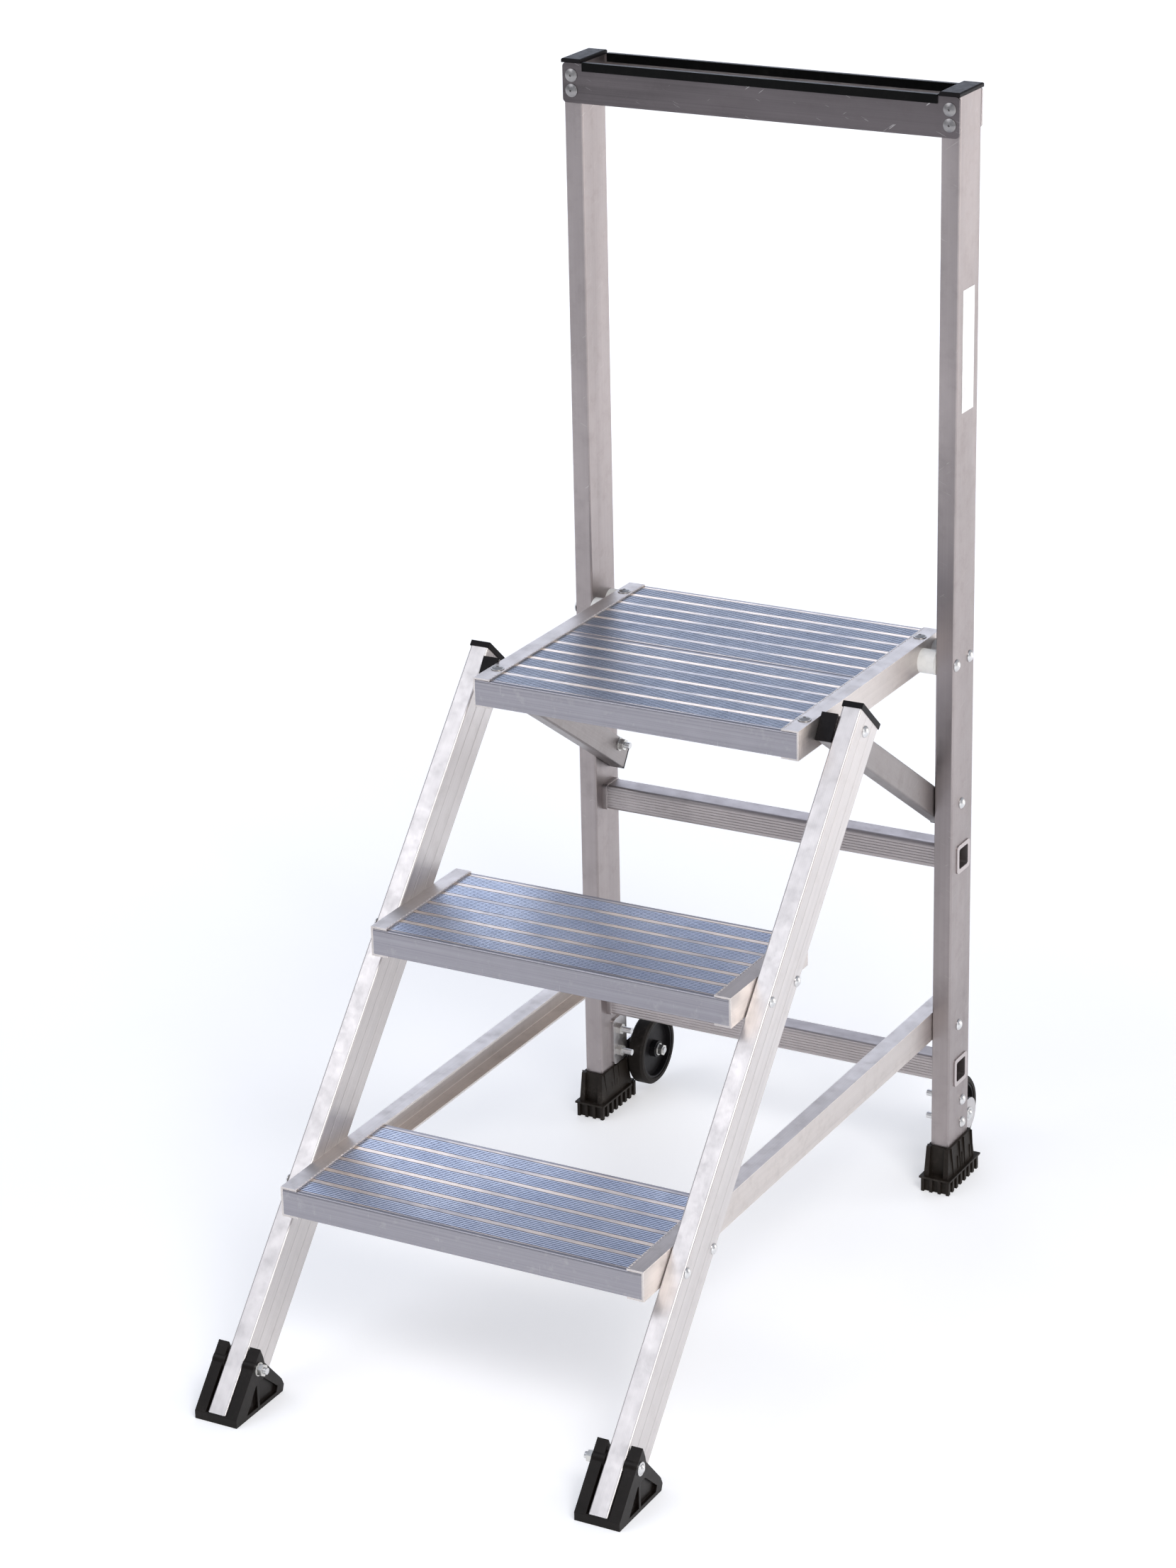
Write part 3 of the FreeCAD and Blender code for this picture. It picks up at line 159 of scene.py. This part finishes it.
def aluminium(name, tone, turn=(0, 0, 0), rough=0.38, spread=0.07, dirt=0.35, reflection_patches=0.0, seams=(),
              rim=None, scratched=0.22):
    """Extruded aluminium: die lines along the turned Z axis, smudges, fine scratches, long patches of
    painted reflection.

    Seams are shallow lengthwise lines at turned Y values, with painted shade in them. Edges carry a
    painted bright highlight, and all that lies beyond rim across X is made lighter.
    """
    finish = Finish(name, Metallic=1.0)
    along = finish.turned(turn)
    die_lines = finish.noise(finish.stretched(along, (520, 520, 1.6)), 1.0, 3.0, 0.6)
    bands = finish.noise(finish.stretched(along, (70, 70, 0.7)), 1.0, 2.0)
    cloud = finish.noise(along, 7.0, 5.0, 0.6)
    smudge = finish.noise(along, 42.0, 6.0, 0.72)
    streak = finish.noise(finish.stretched(finish.turned((0.5, 0.9, 0.3)), (40, 1500, 40)), 1.0, 1.0)
    hairline = finish.noise(finish.stretched(finish.turned((1.1, 0.2, 1.2)), (1400, 36, 36)), 1.0, 1.0)
    marks = finish.calc("MAXIMUM", finish.band(streak, 0.76, 0.79), finish.band(hairline, 0.765, 0.79))
    tint = finish.mix(finish.band(die_lines, 0.3, 0.7), shade(tone, 1 - spread), shade(tone, 1 + spread))
    tint = finish.mix(finish.band(cloud, 0.38, 0.68, 0.0, dirt), tint, shade(tone, 0.80))
    tint = finish.mix(finish.band(smudge, 0.52, 0.72, 0.0, dirt), tint, shade(tone, 0.72))
    tint = finish.mix(finish.band(bands, 0.38, 0.65, 0.0, 0.3), tint, shade(tone, 1.12))
    tint = finish.mix(finish.calc("MULTIPLY", marks, scratched), tint, SCRATCH)
    # Painted reflection: long lengthwise patches, about twice as light.
    if reflection_patches:
        reflection_patch = finish.band(finish.noise(finish.stretched(along, (16, 16, 2.6)), 1.0, 3.0), 0.42, 0.6)
        tint = finish.mix(finish.calc("MULTIPLY", reflection_patch, reflection_patches), tint, shade(tone, 2.1))
    height = finish.calc("SUBTRACT", die_lines, finish.calc("MULTIPLY", marks, 0.4))
    for seam in seams:
        gap = finish.calc("ABSOLUTE", finish.calc("SUBTRACT", finish.split(along)[1], seam))
        groove = finish.band(gap, SEAM_WIDTH / 3, SEAM_WIDTH, 1.0, 0.0)
        # Painted shade: the seam grooves are made darker.
        tint = finish.mix(finish.calc("MULTIPLY", groove, 0.4), tint, shade(tone, 0.5))
        height = finish.calc("SUBTRACT", height, finish.calc("MULTIPLY", groove, 14.0))
    # Painted highlight: the edges are made much lighter, as if catching the light.
    tint = finish.mix(finish.calc("MULTIPLY", finish.at_edges(EDGE_HIGHLIGHT_RADIUS), 0.6), tint, shade(tone, 1.9))
    if rim:
        across = finish.calc("ABSOLUTE", finish.split(finish.coordinates)[0])
        at_rim = finish.calc("GREATER_THAN", across, rim)
        tint = finish.mix(at_rim, tint, shade(tone, 1.5))
    finish.feed(finish.shader.inputs["Base Color"], tint)
    dull = finish.calc("ADD", finish.band(smudge, 0.35, 0.75, rough - 0.03, rough + 0.12),
                       finish.band(die_lines, 0.3, 0.7, -0.03, 0.03))
    finish.feed(finish.shader.inputs["Roughness"], dull)
    finish.relief(height, 0.00002, edge=0.0007)
    return finish.material


RIB_PITCH, RIB_GROOVES, RIB_GROOVE = 0.0038, 7, 0.0016   # of one band on the treads
BAND_PITCH, BAND_START = 0.0314, 0.0065
GROOVE_FLOOR, DECK_SKIN = 0.0006, 0.003   # below the ribs' tops: where grooves and nosing begin
DECK_FRONT, DECK_REAR = 0.005, 0.192      # of the ribbed part, from the tread's front edge


def tread_aluminium(name, front, top, tone):
    """Ribbed tread: ribs with a painted cool sky reflection and painted shade in their grooves, warm worn
    flats between the bands, a smooth scuffed nosing.

    Front and top place it in the frame, and tone lightens or darkens the ribs.
    """
    finish = Finish(name, Metallic=1.0)
    _, y, z = finish.split(finish.coordinates)
    depth = finish.calc("SUBTRACT", y, front)
    bands = finish.calc("DIVIDE", finish.calc("SUBTRACT", depth, BAND_START), BAND_PITCH)
    within = finish.calc("FRACT", bands)
    width = (RIB_GROOVES - 1) * RIB_PITCH + RIB_GROOVE
    ribbed = finish.calc("LESS_THAN", within, width / BAND_PITCH)
    in_groove = finish.calc("LESS_THAN", z, top - GROOVE_FLOOR)
    on_top = finish.calc("GREATER_THAN", z, top - DECK_SKIN)
    inside = finish.calc("MULTIPLY", finish.calc("GREATER_THAN", depth, DECK_FRONT),
                         finish.calc("LESS_THAN", depth, DECK_REAR))
    die_lines = finish.noise(finish.stretched(finish.coordinates, (1.8, 620, 620)), 1.0, 3.0, 0.6)
    cloud = finish.noise(finish.coordinates, 11.0, 5.0, 0.65)
    worn = finish.noise(finish.stretched(finish.coordinates, (7, 26, 26)), 1.0, 4.0, 0.6)
    grain = finish.noise(finish.coordinates, 60.0, 6.0, 0.7)
    scuffs = finish.noise(finish.stretched(finish.turned((0, 0, 0.6)), (1300, 40, 40)), 1.0, 1.0)
    # Painted reflection: the ribs are tinted blue, as the sky reflects in them.
    painted_sky_and_shade = finish.mix(finish.band(cloud, 0.35, 0.7), shade((0.64, 0.69, 0.80), tone),
                      shade((0.48, 0.54, 0.67), tone))
    # Painted shade: the grooves between the ribs are dark.
    painted_sky_and_shade = finish.mix(in_groove, painted_sky_and_shade, (0.16, 0.20, 0.34, 1))
    warm = finish.mix(finish.band(worn, 0.38, 0.56), (0.56, 0.54, 0.56, 1), (0.98, 0.86, 0.76, 1))
    plain = finish.mix(finish.band(die_lines, 0.3, 0.7), (0.30, 0.29, 0.32, 1), (0.38, 0.37, 0.40, 1))
    plain = finish.mix(finish.band(grain, 0.56, 0.74, 0.0, 0.35), plain, (0.60, 0.58, 0.58, 1))
    deck = finish.mix(ribbed, warm, painted_sky_and_shade)
    tint = finish.mix(finish.calc("MULTIPLY", on_top, inside), plain, deck)
    marks = finish.band(scuffs, 0.76, 0.79, 0.0, 0.25)
    tint = finish.mix(marks, tint, (0.93, 0.91, 0.90, 1))
    finish.feed(finish.shader.inputs["Base Color"], tint)
    finish.feed(finish.shader.inputs["Roughness"], finish.band(grain, 0.3, 0.75, 0.32, 0.44))
    finish.relief(die_lines, 0.00002, edge=0.0003)
    return finish.material


def plastic(name, tone, rough, grain_size, dust=(0.30, 0.27, 0.24), dust_share=0.15, gloss=0.18):
    """Moulded plastic or rubber: fine grain, uneven sheen and a little dust."""
    finish = Finish(name, Specular_IOR_Level=gloss)
    grain = finish.noise(finish.coordinates, grain_size, 3.0, 0.6)
    cloud = finish.noise(finish.coordinates, 22.0, 5.0, 0.65)
    fleck = finish.noise(finish.coordinates, 150.0, 6.0, 0.75)
    base = finish.mix(finish.band(cloud, 0.3, 0.7), shade(tone, 0.85), shade(tone, 1.2))
    settled = finish.band(fleck, 0.45, 0.7, 0.0, dust_share)
    dusty = finish.calc("MULTIPLY", finish.band(cloud, 0.45, 0.75), settled)
    finish.feed(finish.shader.inputs["Base Color"], finish.mix(dusty, base, shade(dust, 1.0)))
    finish.feed(finish.shader.inputs["Roughness"], finish.band(fleck, 0.3, 0.7, rough - 0.06, rough + 0.08))
    finish.relief(grain, 0.00006, edge=0.0008)
    return finish.material


THREAD_PITCH = 0.00125   # M8


def zinc(name, tone=(0.70, 0.69, 0.66), thread_inside=None):
    """Zinc-plated steel, mottled; a bolt's shank inside thread_inside of the middle is threaded."""
    finish = Finish(name, Metallic=1.0)
    mottle = finish.noise(finish.coordinates, 140.0, 4.0, 0.6)
    cloud = finish.noise(finish.coordinates, 70.0, 3.0)
    tint = finish.mix(finish.band(mottle, 0.3, 0.7), shade(tone, 0.86), shade(tone, 1.08))
    tint = finish.mix(finish.band(cloud, 0.5, 0.8, 0.0, 0.4), tint, (0.45, 0.43, 0.40, 1))
    finish.feed(finish.shader.inputs["Base Color"], tint)
    finish.feed(finish.shader.inputs["Roughness"], finish.band(mottle, 0.3, 0.7, 0.28, 0.40))
    height = finish.calc("MULTIPLY", mottle, 0.2)
    if thread_inside:
        across = finish.split(finish.coordinates)[0]
        turns = finish.calc("PINGPONG", across, THREAD_PITCH / 2)
        threaded = finish.calc("LESS_THAN", finish.calc("ABSOLUTE", across), thread_inside)
        ridges = finish.calc("MULTIPLY", finish.calc("MULTIPLY", turns, 5000.0), threaded)
        height = finish.calc("ADD", height, ridges)
    finish.relief(height, 0.00003, edge=0.0004)
    return finish.material


ALONG_X = (0, math.pi / 2, 0)
ALONG_Y = (math.pi / 2, 0, 0)
STILE_LINE = -0.535                           # Y where the stiles' front faces meet the floor
STILE_FACE = STILE_LINE * math.cos(LEAN)      # the same faces in turned Y
STILE_SEAMS = (STILE_FACE + 0.019, STILE_FACE + 0.041)
RUNG_RIM = 0.2582                             # beyond this, across X, are the rungs' flared rims
THREAD_INSIDE = 0.2575                        # the bolts' heads are further out
PLATFORM_PAINTED_SHADE, STEP_PAINTED_LIGHT = 0.68, 1.24         # painted shade on the platform's ribs, painted highlight on the steps': evens out the sky's reflection, brightest up there
UPRIGHT = aluminium("upright_aluminium", (0.355, 0.318, 0.315), reflection_patches=0.12)
STILE = aluminium("stile_aluminium", (0.67, 0.64, 0.63), turn=(LEAN, 0, 0), dirt=0.25, seams=STILE_SEAMS)
BRACE = aluminium("brace_aluminium", (0.32, 0.295, 0.29), turn=(-BRACE_TURN, 0, 0))
CHANNEL = aluminium("channel_aluminium", (0.66, 0.615, 0.59), turn=ALONG_Y, dirt=0.5)
RUNG = aluminium("rung_aluminium", (0.37, 0.338, 0.335), turn=ALONG_X, reflection_patches=0.25, rim=RUNG_RIM)
PLATE = aluminium("handrail_aluminium", (0.118, 0.105, 0.108), turn=ALONG_X, spread=0.2, reflection_patches=0.4,
                  scratched=0.6)
REAR_PLATE = aluminium("rear_plate_aluminium", (0.46, 0.42, 0.41), turn=ALONG_X)
BRACKET = zinc("bracket_zinc", (0.62, 0.60, 0.60))
RIVET = zinc("rivet_aluminium", (0.31, 0.30, 0.30))
BOLT = zinc("bolt_zinc", (0.72, 0.72, 0.72), thread_inside=THREAD_INSIDE)
NUT = zinc("nut_zinc")
SCREW = zinc("screw_zinc", (0.50, 0.49, 0.48))
BLACK = plastic("black_plastic", (0.006, 0.005, 0.006), 0.42, 900.0, dust_share=0.06, gloss=0.12)
TRIM = plastic("trim_plastic", (0.003, 0.003, 0.003), 0.34, 700.0, dust_share=0.02, gloss=0.08)
SHOE = plastic("shoe_plastic", (0.007, 0.005, 0.004), 0.36, 800.0, dust_share=0.08)
BOOT = plastic("boot_rubber", (0.015, 0.011, 0.008), 0.50, 500.0, dust_share=0.2)
TYRE = plastic("tyre_rubber", (0.014, 0.011, 0.009), 0.6, 600.0, dust_share=0.2)
HUB = plastic("hub_plastic", (0.012, 0.011, 0.012), 0.45, 700.0)
NYLON = plastic("nylon", (0.80, 0.79, 0.76), 0.45, 500.0, dust=(0.5, 0.48, 0.45), dust_share=0.2)
LABEL = plastic("label_film", (0.86, 0.85, 0.84), 0.35, 300.0, dust=(0.6, 0.58, 0.55), dust_share=0.2)

FINISHES = {
    "upright_left": UPRIGHT, "upright_right": UPRIGHT, "stile_left": STILE, "stile_right": STILE,
    "brace_left": BRACE, "brace_right": BRACE, "rung_lower": RUNG, "rung_upper": RUNG,
    "handrail_plate_front": PLATE, "handrail_plate_rear": REAR_PLATE,
    "handrail_trim_front": TRIM, "handrail_trim_rear": TRIM, "handrail_rivets": RIVET,
    "upright_cap_left": BLACK, "upright_cap_right": BLACK, "stile_cap_left": BLACK,
    "stile_cap_right": BLACK, "brace_plugs": BLACK, "channel_caps": BLACK,
    "front_foot_left": SHOE, "front_foot_right": SHOE, "rear_foot_left": BOOT, "rear_foot_right": BOOT,
    "wheel_bracket_left": BRACKET, "wheel_bracket_right": BRACKET, "wheel_tyre_left": TYRE,
    "wheel_tyre_right": TYRE, "wheel_hub_left": HUB, "wheel_hub_right": HUB,
    "platform_spacers": NYLON, "axle_spacers": NYLON, "label_plate": LABEL, "platform_screws": SCREW,
}
for node in NODES:
    if node.endswith("_bolts"):
        FINISHES[node] = BOLT
    elif node.endswith("_nuts"):
        FINISHES[node] = NUT
    elif "_channel_" in node:
        FINISHES[node] = CHANNEL
    elif "tread" in node:
        low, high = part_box(node)
        # Painted shade on the platform's tread, painted highlight on the steps'.
        tone = PLATFORM_PAINTED_SHADE if "platform" in node else STEP_PAINTED_LIGHT
        FINISHES[node] = tread_aluminium(node + "_aluminium", low.y, high.z, tone)
for node, obj in NODES.items():
    for slot in obj.material_slots:
        slot.material = FINISHES[node]


# ---------------------------------------------------------------- serrated flange edges

TOOTH_PITCH = 0.0065
TOOTH_INSET = 0.0012                    # from the flange's edge to a tooth's middle
TOOTH_FOOT = (-0.0002, 0.0011, 0.0021)  # height, half width and half length
TOOTH_TOP = (0.0005, 0.0005, 0.0012)


def serration(name, side, edge, front, length, level):
    """A row of low swaged teeth on the inner edge of a channel's upper flange."""
    points, faces = [], []
    for i in range(int(length / TOOTH_PITCH)):
        middle = front + (i + 0.5) * TOOTH_PITCH
        first = len(points)
        for height, across, along in (TOOTH_FOOT, TOOTH_TOP):
            for x, y in ((-across, -along), (across, -along), (across, along), (-across, along)):
                points.append((edge + side * TOOTH_INSET + x, middle + y, level + height))
        faces.append([first + k for k in (4, 5, 6, 7)])
        faces.append([first + k for k in (3, 2, 1, 0)])
        for k in range(4):
            after = (k + 1) % 4
            faces.append([first + k, first + after, first + 4 + after, first + 4 + k])
    mesh = bpy.data.meshes.new(name)
    mesh.from_pydata(points, [], faces)
    mesh.materials.append(CHANNEL)
    piece = bpy.data.objects.new(name, mesh)
    bpy.context.collection.objects.link(piece)
    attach(piece, "frame")


for step in ("lower", "middle", "platform"):
    for name, side in (("left", -1), ("right", 1)):
        low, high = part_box("%s_channel_%s" % (step, name))
        inner = low.x if side > 0 else high.x
        tread_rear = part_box("platform_tread_rear" if step == "platform" else step + "_tread")[1].y
        serration("%s_serration_%s" % (step, name), side, inner, low.y, tread_rear - low.y, high.z)


# ---------------------------------------------------------------- floor, light and camera

FLOOR_REACH = 30.0
GLOW_NEAR, GLOW_FAR = 0.42, 0.85        # the floor's own light, 1 m and 5 m away
FRONT_DIM = 0.35                        # share of it that is left 5 m in front


def make_floor():
    """Pale paper. Its far front is dimmer in reflections only, so the upright fronts stay dark."""
    mesh = bpy.data.meshes.new("floor")
    corners = [(x * FLOOR_REACH, y * FLOOR_REACH, 0) for x, y in ((-1, -1), (1, -1), (1, 1), (-1, 1))]
    mesh.from_pydata(corners, [], [(0, 1, 2, 3)])
    floor = bpy.data.objects.new("floor", mesh)
    bpy.context.collection.objects.link(floor)
    pale = Finish("floor_paper", Roughness=0.9)
    fibre = pale.noise(pale.coordinates, 3.0, 4.0)
    paper = pale.mix(fibre, (0.86, 0.86, 0.87, 1), (0.88, 0.88, 0.88, 1))
    pale.feed(pale.shader.inputs["Base Color"], paper)
    pale.feed(pale.shader.inputs["Emission Color"], paper)
    distance = pale.node("ShaderNodeVectorMath", operation="LENGTH")
    pale.feed(distance.inputs[0], pale.coordinates)
    glow = pale.band(distance.outputs["Value"], 1.0, 5.0, GLOW_NEAR, GLOW_FAR)
    ahead = pale.band(pale.split(pale.coordinates)[1], -5.0, -2.0, FRONT_DIM, 1.0)
    seen = pale.node("ShaderNodeLightPath").outputs["Is Camera Ray"]
    glow = pale.calc("MULTIPLY", glow, pale.calc("MAXIMUM", seen, ahead))
    pale.feed(pale.shader.inputs["Emission Strength"], glow)
    mesh.materials.append(pale.material)


def softbox(name, place, aim, width, height, power, colour):
    """A rectangular area light that points at aim and that the camera doesn't see."""
    light = bpy.data.lights.new(name, "AREA")
    light.shape = "RECTANGLE"
    light.size, light.size_y = width, height
    light.energy = power
    light.color = colour
    lamp = bpy.data.objects.new(name, light)
    bpy.context.collection.objects.link(lamp)
    lamp.location = place
    lamp.rotation_euler = (Vector(aim) - Vector(place)).to_track_quat("-Z", "Y").to_euler()
    lamp.visible_camera = False


def make_world():
    """A pale sky, cooler overhead, with a plain white backdrop for the camera."""
    world = bpy.data.worlds.new("studio")
    world.use_nodes = True
    tree = world.node_tree
    background = tree.nodes["Background"]
    direction = tree.nodes.new("ShaderNodeTexCoord")
    split = tree.nodes.new("ShaderNodeSeparateXYZ")
    ramp = tree.nodes.new("ShaderNodeValToRGB")
    tree.links.new(direction.outputs["Generated"], split.inputs[0])
    height = tree.nodes.new("ShaderNodeMapRange")
    height.inputs["From Min"].default_value = -1.0
    tree.links.new(split.outputs["Z"], height.inputs["Value"])
    tree.links.new(height.outputs["Result"], ramp.inputs["Fac"])
    stops = ramp.color_ramp.elements
    stops[0].position, stops[0].color = 0.47, (0.80, 0.78, 0.76, 1)
    stops[1].position, stops[1].color = 1.0, (0.72, 0.80, 0.98, 1)
    middle = stops.new(0.52)
    middle.color = (0.86, 0.88, 0.93, 1)
    seen = tree.nodes.new("ShaderNodeLightPath")
    backdrop = tree.nodes.new("ShaderNodeMix")
    backdrop.data_type = "RGBA"
    backdrop.inputs[7].default_value = (2.0, 2.0, 2.02, 1)
    tree.links.new(seen.outputs["Is Camera Ray"], backdrop.inputs[0])
    tree.links.new(ramp.outputs["Color"], backdrop.inputs[6])
    tree.links.new(backdrop.outputs[2], background.inputs["Color"])
    background.inputs["Strength"].default_value = 0.5
    bpy.context.scene.world = world


CAMERA_PLACE = (2.16585, -3.96100, 2.38269)
CAMERA_ANGLES = (29.0935, 21.1525, -1.2475)   # yaw to the left, pitch down and roll, in degrees
CAMERA_LENS = 96.16


def make_camera():
    yaw, pitch, roll = [math.radians(angle) for angle in CAMERA_ANGLES]
    ahead = Vector((-math.sin(yaw) * math.cos(pitch), math.cos(yaw) * math.cos(pitch), -math.sin(pitch)))
    level = Vector((math.cos(yaw), math.sin(yaw), 0))
    above = level.cross(ahead)
    right = math.cos(roll) * level + math.sin(roll) * above
    up = math.cos(roll) * above - math.sin(roll) * level
    camera = bpy.data.objects.new("camera", bpy.data.cameras.new("camera"))
    bpy.context.collection.objects.link(camera)
    camera.data.lens = CAMERA_LENS
    camera.data.sensor_width = 36.0
    camera.data.clip_end = 100.0
    turn = Matrix((right, up, -ahead)).transposed().to_4x4()
    camera.matrix_world = Matrix.Translation(CAMERA_PLACE) @ turn
    bpy.context.scene.camera = camera


make_floor()
make_world()
make_camera()
softbox("key", (3.2, -2.6, 4.2), (0, 0, 0.6), 2.0, 2.0, 110, (1.0, 0.97, 0.93))
softbox("front_sky", (-2.4, -2.9, 4.3), (0, 0, 0.5), 3.2, 2.4, 48, (0.97, 0.97, 1.0))
softbox("back_sky", (-2.6, 4.6, 2.6), (0, 0, 0.6), 3.6, 2.2, 32, (0.76, 0.83, 1.0))
softbox("side_sun", (4.0, 3.2, 1.2), (0, 0, 0.5), 2.0, 1.6, 50, (1.0, 0.92, 0.84))
softbox("edge_strip", (2.6, -1.4, 0.9), (0, 0, 0.7), 0.3, 1.8, 6, (1.0, 0.98, 0.95))
bpy.context.scene.view_settings.view_transform = "Standard"
